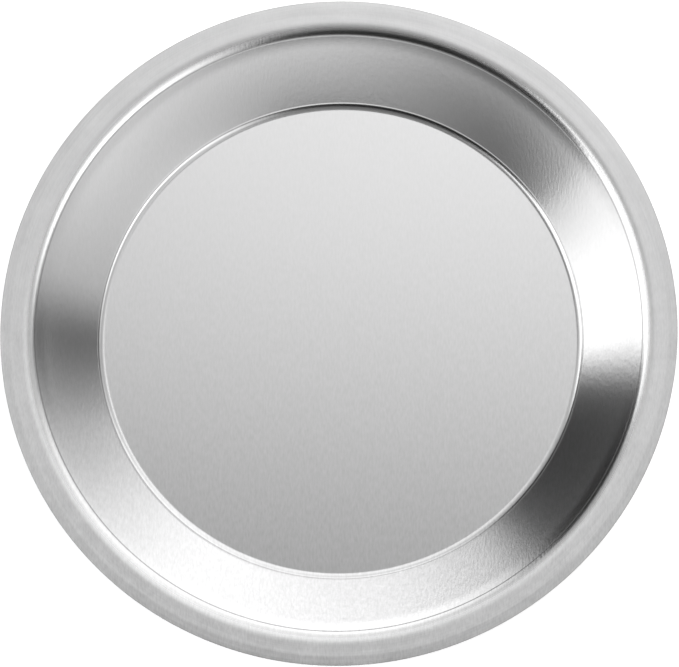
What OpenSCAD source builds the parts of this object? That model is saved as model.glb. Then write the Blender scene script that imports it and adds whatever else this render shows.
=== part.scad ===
// Round pie tin, drawn in one piece from flat sheet: a flat base, a straight flared wall and a level rim.
// The whole section keeps one sheet thickness, and every bend is tangent to the runs on both sides of it.
// The underside of the base lies on z = 0 and the tin stands on the Z axis. Lengths are in millimetres.

/* [Overall size] */
// Diameter of the mouth, where the inside of the wall would meet the top of the rim in a sharp corner
mouth_d = 232; // [200:0.5:320]
// Diameter of the floor, where the inside of the wall would meet the floor in a sharp corner
base_d = 181.5; // [100:0.25:215]
// Height from the underside of the base to the top of the rim
depth = 21; // [12:0.5:60]

/* [Sheet] */
// Thickness of the sheet
sheet = 0.5; // [0.2:0.05:1.2]

/* [Bends] */
// Inside radius where the base turns up into the wall
base_bend_r = 4.1; // [1:0.1:12]
// Inside radius under the rim, where the wall turns out into it
rim_bend_r = 7.5; // [1:0.1:12]

/* [Rim] */
// Width of the rim, from the sharp corner at the mouth to the outer edge
rim_w = 11; // [6:0.25:30]
// Angle by which the outer edge of the rim is turned down
edge_turn = 5; // [1:0.5:45]
// Inside radius of the turned-down edge
edge_bend_r = 6; // [1:0.1:12]
// Width of the strip beyond that bend, measured along the sheet
edge_strip = 1; // [0.2:0.1:3]

/* [Smoothness] */
// Largest angle between neighbouring facets of a bend
bend_step = 3; // [1:0.5:15]
// Segments in a full turn when the tin is drawn as a mesh
turn_steps = 180; // [48:4:360]

/* [Hidden] */
// Slope of the wall, measured from the horizontal
wall_angle = atan2(depth - sheet, (mouth_d - base_d) / 2);
// Distance from each sharp corner to the start of its bend, along the inside or top face
base_tangent = base_bend_r * tan(wall_angle / 2);
rim_tangent = (rim_bend_r + sheet) * tan(wall_angle / 2);
// Reach of the turned-down edge beyond the level part of the rim
edge_reach = (edge_bend_r + sheet) * sin(edge_turn) + edge_strip * cos(edge_turn);
// Centre of each bend in the half section, as [radius from the axis, height]
base_centre = [base_d / 2 - base_tangent, sheet + base_bend_r];
rim_centre = [mouth_d / 2 + rim_tangent, depth - sheet - rim_bend_r];
edge_centre = [mouth_d / 2 + rim_w - edge_reach, depth - sheet - edge_bend_r];
// Direction in which the turned-down strip runs
edge_heading = [cos(edge_turn), -sin(edge_turn)];

// Points of an arc, from one angle to another, both ends included
function arc(centre, radius, from, to) =
    let (steps = ceil(abs(to - from) / bend_step))
    [for (i = [0:steps])
        let (angle = from + (to - from) * i / steps)
        centre + radius * [cos(angle), sin(angle)]];

// Outline of the half section at a given height above the underside of the sheet, from the axis to the
// edge of the rim. The two bends that turn down grow with that height, and the one that turns up shrinks.
function outline(above) =
    let (
        base_arc = arc(base_centre, base_bend_r + sheet - above, -90, wall_angle - 90),
        rim_arc = arc(rim_centre, rim_bend_r + above, wall_angle + 90, 90),
        edge_arc = arc(edge_centre, edge_bend_r + above, 90, 90 - edge_turn),
        edge_end = edge_arc[len(edge_arc) - 1] + edge_strip * edge_heading
    )
    concat([[0, above]], base_arc, rim_arc, edge_arc, [edge_end]);

// The same points in the opposite order
function reverse(points) = [for (i = [len(points) - 1:-1:0]) points[i]];

// Half section of the sheet, between its underside and its top face
module section() {
    polygon(concat(outline(0), reverse(outline(sheet))));
}

// The tin: the section turned about the axis
module pie_tin() {
    color("silver")
        rotate_extrude($fn = turn_steps)
            section();
}

pie_tin();
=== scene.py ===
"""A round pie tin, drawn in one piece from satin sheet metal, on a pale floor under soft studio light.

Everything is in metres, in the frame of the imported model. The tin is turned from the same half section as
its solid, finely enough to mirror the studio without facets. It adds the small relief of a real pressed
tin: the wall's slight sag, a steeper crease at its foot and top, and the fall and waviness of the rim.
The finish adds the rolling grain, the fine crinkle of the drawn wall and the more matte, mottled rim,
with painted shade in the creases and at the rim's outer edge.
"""
import functools
import logging
import math
from dataclasses import dataclass, field
from typing import Any

import bpy
from mathutils import Matrix, Vector


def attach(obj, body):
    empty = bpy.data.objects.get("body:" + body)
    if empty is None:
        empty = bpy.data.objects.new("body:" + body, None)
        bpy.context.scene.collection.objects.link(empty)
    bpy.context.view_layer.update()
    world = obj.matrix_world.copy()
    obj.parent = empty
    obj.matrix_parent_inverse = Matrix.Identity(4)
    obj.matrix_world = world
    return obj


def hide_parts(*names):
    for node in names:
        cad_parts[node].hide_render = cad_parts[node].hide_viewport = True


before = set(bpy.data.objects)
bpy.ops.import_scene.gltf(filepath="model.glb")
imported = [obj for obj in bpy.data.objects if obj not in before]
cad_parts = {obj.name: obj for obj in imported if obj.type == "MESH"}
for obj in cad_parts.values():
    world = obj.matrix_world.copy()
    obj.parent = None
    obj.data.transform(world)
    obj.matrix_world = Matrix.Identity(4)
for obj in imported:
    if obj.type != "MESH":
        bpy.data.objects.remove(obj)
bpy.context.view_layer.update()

log = logging.getLogger("pie_tin")

MM = 0.001
WHITE = (1.0, 1.0, 1.0, 1.0)
Point = tuple[float, float]
Waves = tuple[tuple[int, float, float], ...]


class Value:
    """A number that flows through a node tree. Arithmetic on it adds Math nodes."""

    def __init__(self, board: "Board", socket: bpy.types.NodeSocket) -> None:
        """Keeps the board and the output socket that carries the number."""
        self.board = board
        self.socket = socket

    def _math(self, operation: str, *terms: Any) -> "Value":
        """Adds a Math node.

        Args:
            operation: the node's operation.
            terms: numbers or values for its sockets, in order.

        Returns:
            The node's result.
        """
        inputs = dict(enumerate(terms))
        return self.board.number("ShaderNodeMath", {"operation": operation}, inputs)

    def __add__(self, other: Any) -> "Value":
        """Sum."""
        return self._math("ADD", self, other)

    __radd__ = __add__

    def __sub__(self, other: Any) -> "Value":
        """Difference."""
        return self._math("SUBTRACT", self, other)

    def __rsub__(self, other: Any) -> "Value":
        """Difference, with this value as what is taken away."""
        return self._math("SUBTRACT", other, self)

    def __mul__(self, other: Any) -> "Value":
        """Product."""
        return self._math("MULTIPLY", self, other)

    __rmul__ = __mul__

    def __pow__(self, other: Any) -> "Value":
        """Power."""
        return self._math("POWER", self, other)

    def __abs__(self) -> "Value":
        """Size without its sign."""
        return self._math("ABSOLUTE", self)

    def most(self, other: Any) -> "Value":
        """The larger of two values."""
        return self._math("MAXIMUM", self, other)

    def arcsine(self) -> "Value":
        """Angle whose sine this is, in radians."""
        return self._math("ARCSINE", self)

    def bearing(self, across: "Value") -> "Value":
        """Angle from this axis towards the one across it, in radians."""
        return self._math("ARCTAN2", across, self)

    def ramp(self, start: float, end: float, smooth: bool = True,
             low: float = 0.0, high: float = 1.0) -> "Value":
        """Passes from one level to another as this value goes from start to end.

        Args:
            start: where the passage starts.
            end: where it ends, above or below start.
            smooth: eases in and out, or else runs straight.
            low: level at start and before it.
            high: level at end and after it.

        Returns:
            The level.
        """
        kind = "SMOOTHSTEP" if smooth else "LINEAR"
        inputs = {"Value": self, "From Min": start, "From Max": end, "To Min": low, "To Max": high}
        return self.board.number("ShaderNodeMapRange", {"interpolation_type": kind}, inputs)


class Board:
    """A node tree that nodes are added to by one call each."""

    def __init__(self, tree: bpy.types.NodeTree) -> None:
        """Takes over the tree and clears it."""
        self.tree = tree
        tree.nodes.clear()

    def add(self, kind: str, settings: dict[str, Any] | None = None,
            inputs: dict[str | int, Any] | None = None) -> bpy.types.Node:
        """Adds a node, makes its settings first and then fills or links its sockets.

        Args:
            kind: the node's type.
            settings: its own settings, by name.
            inputs: for each socket, by name or number, a plain value, a Value or an output socket.

        Returns:
            The node.
        """
        node = self.tree.nodes.new(kind)
        for name, setting in (settings or {}).items():
            setattr(node, name, setting)
        for name, given in (inputs or {}).items():
            socket = node.inputs[name]
            source = given.socket if isinstance(given, Value) else given
            if isinstance(source, bpy.types.NodeSocket):
                self.tree.links.new(source, socket)
            else:
                socket.default_value = source
        return node

    def number(self, kind: str, settings: dict[str, Any] | None = None,
               inputs: dict[str | int, Any] | None = None, output: str | int = 0) -> Value:
        """Adds a node and returns one of its outputs as a number."""
        return Value(self, self.add(kind, settings, inputs).outputs[output])

    def rays(self, *kinds: str) -> Value:
        """Tells rays of the given kinds, where it is 1, from all others, where it is 0."""
        path = self.add("ShaderNodeLightPath")
        return functools.reduce(Value.most, [Value(self, path.outputs[f"Is {kind} Ray"]) for kind in kinds])

    def parts(self, vector: bpy.types.NodeSocket) -> tuple[Value, Value, Value]:
        """Splits a vector into its three numbers."""
        split = self.add("ShaderNodeSeparateXYZ", inputs={0: vector})
        return tuple(Value(self, socket) for socket in split.outputs)


@dataclass(frozen=True)
class Bend:
    """A bend of the sheet in the half section: its centre as radius and height, and its inside radius.

    It runs from the start to the end angle, in degrees. It grows if its radius is larger on the sheet's
    upper face than on the underside.
    """

    centre: Point
    inside: float
    start: float
    end: float
    grows: bool

    def points(self, above: float, sheet: float, step: float) -> list[Point]:
        """Follows the bend at one height through the sheet.

        Args:
            above: height above the underside of the sheet.
            sheet: thickness of the sheet.
            step: largest angle between points, in degrees.

        Returns:
            Points as (radius, height), both ends included.
        """
        radius = self.inside + (above if self.grows else sheet - above)
        count = math.ceil(abs(self.end - self.start) / step)
        angles = [math.radians(self.start + (self.end - self.start) * i / count) for i in range(count + 1)]
        across, up = self.centre
        return [(across + radius * math.cos(angle), up + radius * math.sin(angle)) for angle in angles]


@dataclass
class DrawnSection:
    """Half section of the tin: the sheet keeps one thickness, and bends join its runs.

    The slacks say by how many degrees the wall is flatter than its true slope at its foot and top, the
    crease turn how much steeper its short runs beside the two bends are. Angles are in degrees.
    """

    mouth_d: float = 232 * MM
    base_d: float = 181.5 * MM
    depth: float = 21 * MM
    sheet: float = 0.5 * MM
    base_bend_r: float = 4.1 * MM
    rim_bend_r: float = 7.5 * MM
    rim_w: float = 11 * MM
    edge_turn: float = 5.0
    edge_bend_r: float = 6 * MM
    edge_strip: float = 1 * MM
    foot_slack: float = 2.0
    top_slack: float = 2.0
    steepest: float = 0.84
    crease_turn: float = 5.0
    crease_run: float = 0.45 * MM
    bend_step: float = 2.5
    cut_round: float = 0.08 * MM
    cut_steps: int = 4
    guard: float = 0.12 * MM
    hub_r: float = 4 * MM
    floor_steps: int = 12
    crease_steps: int = 2
    wall_steps: int = 24
    rim_steps: int = 24
    strip_steps: int = 3

    @property
    def wall_angle(self) -> float:
        """Slope of the wall from the horizontal, in degrees."""
        return math.degrees(math.atan2(self.depth - self.sheet, (self.mouth_d - self.base_d) / 2))

    @property
    def outer_r(self) -> float:
        """Radius of the outer edge of the rim."""
        return self.mouth_d / 2 + self.rim_w

    def bends(self) -> tuple[Bend, Bend, Bend]:
        """Places the three bends of the sheet.

        Returns:
            The bends at the foot of the wall, under the rim and at the turned-down edge.
        """
        half = math.tan(math.radians(self.wall_angle / 2))
        turn = math.radians(self.edge_turn)
        reach = (self.edge_bend_r + self.sheet) * math.sin(turn) + self.edge_strip * math.cos(turn)
        foot = (self.base_d / 2 - self.base_bend_r * half, self.sheet + self.base_bend_r)
        under = self.depth - self.sheet
        top = (self.mouth_d / 2 + (self.rim_bend_r + self.sheet) * half, under - self.rim_bend_r)
        edge = (self.outer_r - reach, under - self.edge_bend_r)
        return (
            Bend(foot, self.base_bend_r, -90.0, self.wall_angle - self.foot_slack - 90.0, False),
            Bend(top, self.rim_bend_r, self.wall_angle - self.top_slack + 90.0, 90.0, True),
            Bend(edge, self.edge_bend_r, 90.0, 90.0 - self.edge_turn, True),
        )

    def face(self, above: float) -> list[Point]:
        """Follows one face of the sheet from near the axis to the cut edge.

        Args:
            above: height of the face above the underside of the sheet.

        Returns:
            Points as (radius, height), with close guard points beside each bend that keep the flats flat.
        """
        bends = [bend.points(above, self.sheet, self.bend_step) for bend in self.bends()]
        foot_bend, rim_bend, edge_bend = bends
        turn = math.radians(self.edge_turn)
        last = edge_bend[-1]
        end = (last[0] + self.edge_strip * math.cos(turn), last[1] - self.edge_strip * math.sin(turn))
        steep = math.radians(self.wall_angle + self.crease_turn)
        step = (self.crease_run * math.cos(steep), self.crease_run * math.sin(steep))
        foot = (foot_bend[-1][0] + step[0], foot_bend[-1][1] + step[1])
        top = (rim_bend[0][0] - step[0], rim_bend[0][1] - step[1])
        line = self.straight((self.hub_r, above), foot_bend[0], self.floor_steps)
        line += foot_bend + self.straight(foot_bend[-1], foot, self.crease_steps)[1:]
        line += self.sagging(self.straight(foot, top, self.wall_steps), foot, top)
        line += self.straight(top, rim_bend[0], self.crease_steps)
        line += rim_bend + self.straight(rim_bend[-1], edge_bend[0], self.rim_steps)[1:]
        return line + edge_bend + self.straight(edge_bend[-1], end, self.strip_steps)[1:]

    def straight(self, start: Point, end: Point, count: int) -> list[Point]:
        """Divides a straight run into even steps, with a guard point close to each end.

        Args:
            start: its first point as (radius, height).
            end: its last point.
            count: number of steps.

        Returns:
            The points, without the last one.
        """
        guard = self.guard / math.dist(start, end)
        shares = [0.0, guard] + [i / count for i in range(1, count)] + [1 - guard]
        return [(start[0] + (end[0] - start[0]) * s, start[1] + (end[1] - start[1]) * s) for s in shares]

    def sagging(self, line: list[Point], start: Point, end: Point) -> list[Point]:
        """Lets the wall sag: its slope grows from the foot to near the top and eases before the rim's bend.

        Args:
            line: points of the straight wall as (radius, height).
            start: its lower end.
            end: its upper end.

        Returns:
            The points on the sagging wall.
        """
        run, rise = end[0] - start[0], end[1] - start[1]
        foot, top, peak = math.radians(self.foot_slack), math.radians(self.top_slack), self.steepest
        extra = peak * foot + (1 - peak) * top
        sagged = []
        for radius, height in line:
            share = (radius - start[0]) / run
            low, high = min(share, peak), max(share - peak, 0.0)
            sag = foot * low - (extra + foot) * low ** 2 / (2 * peak)
            sag -= extra * high - (extra + top) * high ** 2 / (2 * (1 - peak))
            sagged.append((radius + rise * sag, height - run * sag))
        return sagged

    def cut_edge(self, last: Point) -> list[Point]:
        """Follows the cut edge round its two rounded corners, from the inside face to the underside.

        Args:
            last: the last point of the inside face, one guard length before the cut.

        Returns:
            Points as (radius, height).
        """
        turn = math.radians(self.edge_turn)
        along = (math.cos(turn), -math.sin(turn))
        down = (-math.sin(turn), -math.cos(turn))
        corner = (last[0] + along[0] * self.guard, last[1] + along[1] * self.guard)
        points = []
        for middle, start in ((self.cut_round, 0), (self.sheet - self.cut_round, 90)):
            for i in range(self.cut_steps + 1):
                angle = math.radians(start + 90 * i / self.cut_steps)
                out = (math.sin(angle) - 1) * self.cut_round
                low = middle - math.cos(angle) * self.cut_round
                points.append(tuple(c + a * out + d * low for c, a, d in zip(corner, along, down)))
        return points

    def outline(self) -> list[Point]:
        """Follows the whole sheet: out along the inside face, round the cut edge and back underneath."""
        over, under = self.face(self.sheet), self.face(0.0)
        return over + self.cut_edge(over[-1]) + under[::-1]


@dataclass(frozen=True)
class Waviness:
    """Unevenness of the pressed sheet: a rim that falls outward, has a faint crown and waves a little.

    The wall is also a little fuller, so it sags less, on one side. The sides and the droop are in degrees.
    """

    height: float = 0.10 * MM
    edge_height: float = 0.05 * MM
    crown_height: float = 0.05 * MM
    crown_r: float = 123.6 * MM
    crown_half: float = 1.3 * MM
    droop: float = 3.0
    droop_from_r: float = 118.6 * MM
    droop_soft: float = 1.2 * MM
    fuller_side: float = -86.0
    fuller_height: float = 0.24 * MM
    wall_from_r: float = 92 * MM
    wall_to_r: float = 114 * MM
    from_r: float = 112 * MM
    edge_from_r: float = 123 * MM
    rim_waves: Waves = ((2, 0.6, 0.8), (3, 0.5, 2.1), (5, 0.35, 4.0), (9, 0.15, 1.3))
    edge_waves: Waves = ((7, 0.4, 0.4), (13, 0.4, 2.9), (23, 0.3, 5.1), (37, 0.15, 1.9))

    @staticmethod
    def ring(waves: Waves, turn: float) -> float:
        """Adds up waves, each a count round the rim, a share and a phase, at one turn."""
        return sum(share * math.sin(count * turn + phase) for count, share, phase in waves)

    @staticmethod
    def along(radius: float, start: float, end: float) -> float:
        """Share of the way from the start to the end radius, held within 0 and 1."""
        return min(max((radius - start) / (end - start), 0.0), 1.0)

    def lift(self, radius: float, turn: float, outer_r: float) -> float:
        """Height by which a point of the sheet departs from the true form.

        Args:
            radius: distance from the axis.
            turn: angle about the axis.
            outer_r: radius of the outer edge.

        Returns:
            The lift, in metres.
        """
        crown = self.crown_height * math.exp(-((radius - self.crown_r) / self.crown_half) ** 2)
        rim = self.along(radius, self.from_r, outer_r) ** 2
        edge = self.along(radius, self.edge_from_r, outer_r) ** 2
        past = max(radius - self.droop_from_r, 0.0)
        fall = past ** 2 / (2 * self.droop_soft) if past < self.droop_soft else past - self.droop_soft / 2
        share = self.along(radius, self.wall_from_r, self.wall_to_r)
        side = max(math.cos(turn - math.radians(self.fuller_side)), 0.0) ** 2
        full = self.fuller_height * 4 * share * (1 - share) * side
        waves = rim * self.height * self.ring(self.rim_waves, turn)
        waves += edge * self.edge_height * self.ring(self.edge_waves, turn)
        return crown + full - math.tan(math.radians(self.droop)) * fall + waves


@dataclass(frozen=True)
class RolledSheet:
    """Finish of the bare sheet: satin with a fine grain, crinkled where drawn, more matte on the rim.

    Heights are those of the relief, and tones are shares of the colour that the cloud or band can change.
    The strip, lip and crease tones are painted shade: the rim's outer strip darker, more so towards one
    side, and thin dark lines at the cut edge and in the two creases. The grain's tone grows along Y over
    its span, towards the near side. The other places are radii.
    """

    colour: tuple[float, float, float] = (0.88, 0.88, 0.882)
    gloss_roughness: float = 0.16
    haze_roughness: float = 0.276
    haze_share: float = 0.26
    rim_roughness: float = 0.44
    rim_starts: float = 114.5 * MM
    rim_full: float = 119.5 * MM
    grain_height: float = 0.004 * MM
    grain_tone: float = 0.10
    near_grain_tone: float = 0.34
    grain_span: tuple[float, float] = (60 * MM, -90 * MM)
    grain_pitch: tuple[float, float, float] = (0.7 * MM, 2.6 * MM, 2.6 * MM)
    wall_grain: float = 0.024 * MM
    crinkle_height: float = 0.010 * MM
    crinkle_pitch: float = 1.6 * MM
    wall_rise: tuple[float, float] = (89 * MM, 93 * MM)
    wall_fall: tuple[float, float] = (120 * MM, 115 * MM)
    mottle_height: float = 0.04 * MM
    mottle_tone: float = 0.14
    mottle_roughness: float = 0.06
    mottle_pitch: float = 9 * MM
    streak_tone: float = 0.14
    streak_pitch: float = 0.6 * MM
    streak_turn: float = 0.25
    streak_rise: float = 10 * MM
    # Painted shade: the rim's outer strip is darkened, and more so towards one side.
    strip_starts: float = 123.0 * MM
    strip_full: float = 124.0 * MM
    strip_shade_tone: float = 0.04
    strip_side_shade: float = 0.07
    shade_side: float = -50.0
    shade_side_r: float = 127 * MM
    # Painted shade: a thin dark line along the cut edge.
    lip_starts: float = 126.5 * MM
    lip_full: float = 126.8 * MM
    lip_shade_tone: float = 0.14
    # Painted shade: thin dark lines at the foot and top creases, at these radii and over this half width.
    foot_crease: float = 91.55 * MM
    top_crease: float = 113.95 * MM
    crease_half: float = 0.4 * MM
    crease_shade_tone: float = 0.42
    cloud_detail: float = 2.0
    cloud_roughness: float = 0.55

    def cloud(self, board: Board, place: bpy.types.NodeSocket, pitch: tuple[float, float, float]) -> Value:
        """Adds a soft noise whose spots have the given pitch along X, Y and Z.

        Args:
            board: the material's board.
            place: position on the object.
            pitch: size of a spot along each axis, in the units of the position.

        Returns:
            A number about zero, within half a unit.
        """
        spread = board.add("ShaderNodeVectorMath", {"operation": "MULTIPLY"},
                           {0: place, 1: tuple(1 / p for p in pitch)})
        noise = board.number("ShaderNodeTexNoise", {"noise_dimensions": "3D"}, {
            "Vector": spread.outputs[0], "Scale": 1.0,
            "Detail": self.cloud_detail, "Roughness": self.cloud_roughness})
        return noise - 0.5

    def material(self) -> bpy.types.Material:
        """Builds the material.

        Returns:
            The finished material.
        """
        material = bpy.data.materials.new("satin_sheet")
        material.use_nodes = True
        board = Board(material.node_tree)
        place = board.add("ShaderNodeTexCoord").outputs["Object"]
        x, y, z = board.parts(place)
        radius = (x ** 2 + y ** 2) ** 0.5
        rim = radius.ramp(self.rim_starts, self.rim_full)
        wall = radius.ramp(*self.wall_rise) * radius.ramp(*self.wall_fall)
        strip = radius.ramp(self.strip_starts, self.strip_full)
        # Painted shade along the cut edge follows this band.
        lip = radius.ramp(self.lip_starts, self.lip_full)
        half = self.crease_half
        # Painted shade: a thin dark line at each crease.
        crease_shade = sum(radius.ramp(middle - half, middle) * radius.ramp(middle + half, middle)
                      for middle in (self.foot_crease, self.top_crease))
        grain = self.cloud(board, place, self.grain_pitch)
        crinkle = self.cloud(board, place, (self.crinkle_pitch,) * 3)
        mottle = self.cloud(board, place, (self.mottle_pitch,) * 3)
        around = board.add("ShaderNodeCombineXYZ", inputs={0: radius, 1: x.bearing(y), 2: z})
        spread = (self.streak_pitch, self.streak_turn, self.streak_rise)
        streak = self.cloud(board, around.outputs[0], spread)
        relief = (grain * (self.grain_height + self.wall_grain * wall)
                  + crinkle * self.crinkle_height * wall + mottle * self.mottle_height * rim)
        bump = board.add("ShaderNodeBump", inputs={"Strength": 1.0, "Distance": 1.0, "Height": relief})
        # Painted shade on the rim's outer strip, deeper towards one side.
        side = math.radians(self.shade_side)
        towards = (x * math.cos(side) + y * math.sin(side)) * (1 / self.shade_side_r)
        strip_shade = self.strip_shade_tone + self.strip_side_shade * towards.most(0.0)
        near = y.ramp(*self.grain_span, smooth=False, low=self.grain_tone, high=self.near_grain_tone)
        # Grain, mottle and streaks are the sheet's own tone; the strip, lip and crease terms are painted
        # shade.
        tone = (1 + grain * near + (mottle * self.mottle_tone + streak * self.streak_tone) * rim
                - strip * strip_shade - lip * self.lip_shade_tone - crease_shade * self.crease_shade_tone)
        colour = board.add("ShaderNodeVectorMath", {"operation": "SCALE"}, {0: self.colour, "Scale": tone})
        layers = []
        for own in (self.gloss_roughness, self.haze_roughness):
            roughness = own + (self.rim_roughness - own) * rim + mottle * self.mottle_roughness * rim
            layers.append(board.add("ShaderNodeBsdfPrincipled", inputs={
                "Base Color": colour.outputs[0], "Metallic": 1.0,
                "Roughness": roughness, "Normal": bump.outputs[0]}))
        sheet = board.add("ShaderNodeMixShader", inputs={
            0: self.haze_share, 1: layers[0].outputs[0], 2: layers[1].outputs[0]})
        board.add("ShaderNodeOutputMaterial", inputs={"Surface": sheet.outputs[0]})
        return material


@dataclass
class PieTin:
    """The tin: one drawn sheet with a flat base, a straight flared wall and a level rim."""

    node: str = "pie_tin"
    section: DrawnSection = field(default_factory=DrawnSection)
    waviness: Waviness = field(default_factory=Waviness)
    finish: RolledSheet = field(default_factory=RolledSheet)
    turns: int = 360

    def build(self) -> bpy.types.Object:
        """Turns the section about the axis into one closed mesh.

        Returns:
            The tin's object.
        """
        line = self.section.outline()
        rows = len(line)
        points: list[tuple[float, float, float]] = []
        for step in range(self.turns):
            turn = 2 * math.pi * step / self.turns
            for radius, height in line:
                lift = self.waviness.lift(radius, turn, self.section.outer_r)
                points.append((radius * math.cos(turn), radius * math.sin(turn), height + lift))
        faces: list[tuple[int, ...]] = []
        for step in range(self.turns):
            here, there = step * rows, (step + 1) % self.turns * rows
            faces += [(here + i, here + i + 1, there + i + 1, there + i) for i in range(rows - 1)]
        for row, over in ((0, True), (rows - 1, False)):
            hub = len(points)
            points.append((0.0, 0.0, line[row][1]))
            for step in range(self.turns):
                here, there = step * rows + row, (step + 1) % self.turns * rows + row
                faces.append((hub, here, there) if over else (hub, there, here))
        mesh = bpy.data.meshes.new("tin_sheet")
        mesh.from_pydata(points, [], faces)
        mesh.shade_smooth()
        tin = bpy.data.objects.new("drawn_tin", mesh)
        bpy.context.scene.collection.objects.link(tin)
        return tin

    def dress(self, tin: bpy.types.Object) -> None:
        """Gives the tin its finish and ties it to the frame.

        Args:
            tin: the tin's object, as built.
        """
        tin.data.materials.append(self.finish.material())
        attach(tin, "root")
        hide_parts(self.node)


@dataclass(frozen=True)
class LightPanel:
    """A soft panel of light, or a dark gap, far away round the tin.

    Azimuths run from +X towards +Y and elevations from the horizon, in degrees. Its brightness goes from
    bottom to top over its height, and its edges fade over the widths given.
    """

    name: str
    azimuth: float
    half_width: float
    side_fade: float
    low: float
    high: float
    low_fade: float
    high_fade: float
    bottom: float
    top: float

    def lay_over(self, level: Value, ahead: tuple[Value, Value], elevation: Value) -> Value:
        """Lays the panel over the light behind it.

        Args:
            level: brightness so far in each direction.
            ahead: the direction's parts along X and Y.
            elevation: the direction's elevation, in degrees.

        Returns:
            The brightness with the panel in place.
        """
        turn = math.radians(self.azimuth)
        east, north = ahead
        along = east * math.cos(turn) + north * math.sin(turn)
        across = north * math.cos(turn) - east * math.sin(turn)
        aside = abs(along.bearing(across)) * math.degrees(1)
        window = (
            aside.ramp(self.half_width + self.side_fade / 2, self.half_width - self.side_fade / 2)
            * elevation.ramp(self.low - self.low_fade / 2, self.low + self.low_fade / 2)
            * elevation.ramp(self.high + self.high_fade / 2, self.high - self.high_fade / 2)
        )
        own = elevation.ramp(self.low, self.high, smooth=False, low=self.bottom, high=self.top)
        return level + (own - level) * window


@dataclass
class Studio:
    """Soft studio light all round, as a world that the camera sees as plain white.

    Behind the panels its brightness rises from a near to a far level, towards one azimuth in degrees.
    """

    rise_azimuth: float = 105.0
    near_level: float = 0.132
    rise_starts: float = 0.194
    rise_width: float = 0.089
    far_level: float = 0.491
    panels: tuple[LightPanel, ...] = (
        LightPanel("near band", azimuth=278, half_width=86.5, side_fade=14, low=4.5, high=39.5,
                   low_fade=14.5, high_fade=19.5, bottom=1.32, top=0),
        LightPanel("far bank", azimuth=73.5, half_width=44, side_fade=37.5, low=-21.5, high=79.5,
                   low_fade=8, high_fade=5, bottom=1.4, top=1.08),
        LightPanel("left box", azimuth=176.5, half_width=26, side_fade=5, low=-8, high=48,
                   low_fade=5, high_fade=34, bottom=1.06, top=2.2),
        LightPanel("right box", azimuth=333.5, half_width=27.5, side_fade=58.5, low=35, high=71.5,
                   low_fade=15, high_fade=24.5, bottom=2.8, top=2.2),
        LightPanel("right veil", azimuth=2, half_width=49, side_fade=31.5, low=49.5, high=89,
                   low_fade=30, high_fade=5, bottom=0.26, top=0.86),
        LightPanel("near left gap", azimuth=217.5, half_width=29, side_fade=60, low=15, high=29.5,
                   low_fade=36.5, high_fade=10.5, bottom=0, top=0),
        LightPanel("far left gap", azimuth=143, half_width=19.5, side_fade=12, low=0.5, high=31,
                   low_fade=4, high_fade=9.5, bottom=0, top=0),
        LightPanel("near gap", azimuth=246.5, half_width=39, side_fade=5.5, low=32.5, high=60,
                   low_fade=4, high_fade=8, bottom=0, top=0),
        LightPanel("far gap", azimuth=121, half_width=46.5, side_fade=60, low=38, high=42.5,
                   low_fade=40, high_fade=44, bottom=0, top=0),
        LightPanel("far right strip", azimuth=18, half_width=34, side_fade=41, low=-10.5, high=15,
                   low_fade=5.5, high_fade=40, bottom=1.3, top=0),
        LightPanel("left veil", azimuth=189, half_width=21, side_fade=5, low=54, high=70.5,
                   low_fade=4.5, high_fade=59, bottom=2.46, top=0.52),
    )

    def build(self) -> bpy.types.World:
        """Builds the world.

        Returns:
            The world, set on the scene.
        """
        world = bpy.data.worlds.new("soft_studio")
        world.use_nodes = True
        board = Board(world.node_tree)
        east, north, up = board.parts(board.add("ShaderNodeTexCoord").outputs["Generated"])
        elevation = up.arcsine() * math.degrees(1)
        turn = math.radians(self.rise_azimuth)
        towards = east * math.cos(turn) + north * math.sin(turn)
        level = towards.ramp(self.rise_starts, self.rise_starts + self.rise_width,
                             low=self.near_level, high=self.far_level)
        for panel in self.panels:
            level = panel.lay_over(level, (east, north), elevation)
        lit = board.add("ShaderNodeBackground", inputs={"Color": WHITE, "Strength": level})
        white = board.add("ShaderNodeBackground", inputs={"Color": WHITE, "Strength": 1.0})
        seen = board.rays("Camera", "Transmission")
        mixed = board.add("ShaderNodeMixShader", inputs={0: seen, 1: lit.outputs[0], 2: white.outputs[0]})
        board.add("ShaderNodeOutputWorld", inputs={"Surface": mixed.outputs[0]})
        bpy.context.scene.world = world
        return world


@dataclass
class OverheadLamp:
    """A wide soft lamp above the tin for matte surfaces. The metal doesn't mirror it."""

    size: float = 2.0
    height: float = 2.0
    power: float = 17.0

    def build(self) -> bpy.types.Object:
        """Hangs the lamp.

        Returns:
            The lamp's object.
        """
        data = bpy.data.lights.new("overhead_lamp", "AREA")
        data.shape, data.size, data.energy = "SQUARE", self.size, self.power
        lamp = bpy.data.objects.new("overhead_lamp", data)
        lamp.location = (0.0, 0.0, self.height)
        lamp.visible_camera = lamp.visible_glossy = lamp.visible_transmission = False
        bpy.context.scene.collection.objects.link(lamp)
        return lamp


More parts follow.
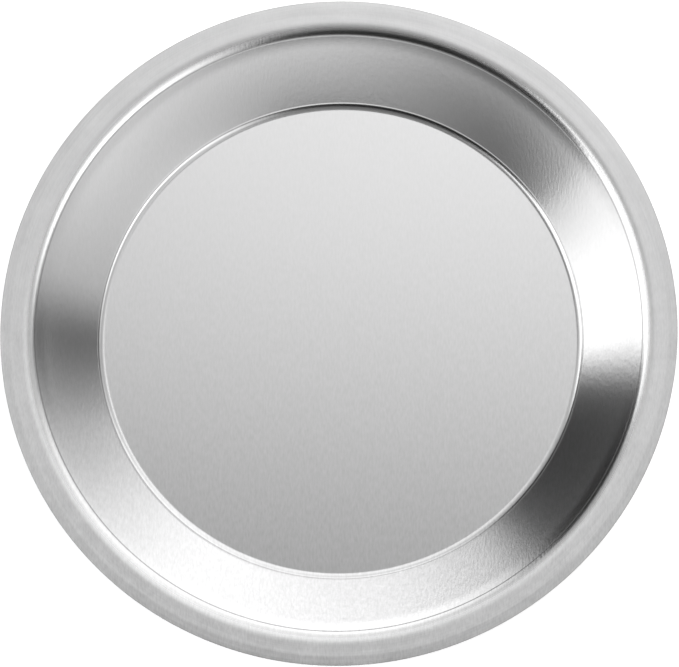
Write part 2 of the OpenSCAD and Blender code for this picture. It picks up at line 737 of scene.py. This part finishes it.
@dataclass
class PaleFloor:
    """A wide pale floor that reads white and keeps the tin's soft shadow."""

    half_size: float = 4.0
    drop: float = 0.05 * MM
    tone: float = 0.86
    glow: float = 0.42

    def build(self) -> bpy.types.Object:
        """Makes the floor.

        Returns:
            The floor's object.
        """
        mesh = bpy.data.meshes.new("floor_sheet")
        corners = ((-1, -1), (1, -1), (1, 1), (-1, 1))
        mesh.from_pydata([(x * self.half_size, y * self.half_size, -self.drop) for x, y in corners], [],
                         [(0, 1, 2, 3)])
        floor = bpy.data.objects.new("pale_floor", mesh)
        bpy.context.scene.collection.objects.link(floor)
        floor.data.materials.append(self.material())
        return floor

    def material(self) -> bpy.types.Material:
        """Builds white board that also glows where the camera or a mirror looks at it.

        Returns:
            The finished material.
        """
        material = bpy.data.materials.new("white_board")
        material.use_nodes = True
        board = Board(material.node_tree)
        seen = board.rays("Camera", "Glossy", "Transmission")
        matte = board.add("ShaderNodeBsdfDiffuse", inputs={"Color": (self.tone,) * 3 + (1.0,)})
        glow = board.add("ShaderNodeEmission", inputs={"Strength": seen * self.glow})
        both = board.add("ShaderNodeAddShader", inputs={0: matte.outputs[0], 1: glow.outputs[0]})
        board.add("ShaderNodeOutputMaterial", inputs={"Surface": both.outputs[0]})
        return material


@dataclass
class PhotoCamera:
    """A long lens that looks down into the tin from nearly overhead, as in the photo."""

    place: tuple[float, float, float] = (75.1 * MM, -384.5 * MM, 1925.9 * MM)
    aim: tuple[float, float, float] = (0.15 * MM, 0.4 * MM, 10.5 * MM)
    lens: float = 275.3
    sensor: float = 36.0
    nearest: float = 0.01
    farthest: float = 20.0

    def build(self) -> bpy.types.Object:
        """Places the camera, with +Y up in its picture.

        Returns:
            The camera's object, set on the scene.
        """
        data = bpy.data.cameras.new("long_lens")
        data.lens, data.sensor_width = self.lens, self.sensor
        data.clip_start, data.clip_end = self.nearest, self.farthest
        camera = bpy.data.objects.new("photo_camera", data)
        bpy.context.scene.collection.objects.link(camera)
        place = Vector(self.place)
        back = (place - Vector(self.aim)).normalized()
        right = Vector((0, 1, 0)).cross(back).normalized()
        up = back.cross(right)
        turned = Matrix((right, up, back)).transposed().to_4x4()
        camera.matrix_world = Matrix.Translation(place) @ turned
        bpy.context.scene.camera = camera
        return camera


def main() -> None:
    """Builds the scene in order and reports each piece."""
    logging.basicConfig(level=logging.INFO, format="%(name)s: %(message)s")
    bpy.context.scene.view_settings.view_transform = "Standard"
    camera = PhotoCamera().build()
    log.info("camera %s with a %.0f mm lens", camera.name, camera.data.lens)
    tin_maker = PieTin()
    tin = tin_maker.build()
    tin_maker.dress(tin)
    log.info("piece %s: %d points, %d faces", tin.name, len(tin.data.vertices), len(tin.data.polygons))
    floor = PaleFloor().build()
    log.info("stage %s", floor.name)
    lamp = OverheadLamp().build()
    log.info("lamp %s of %.0f watts", lamp.name, lamp.data.energy)
    world = Studio().build()
    log.info("world %s: %d nodes", world.name, len(world.node_tree.nodes))


if __name__ == "__main__":
    main()
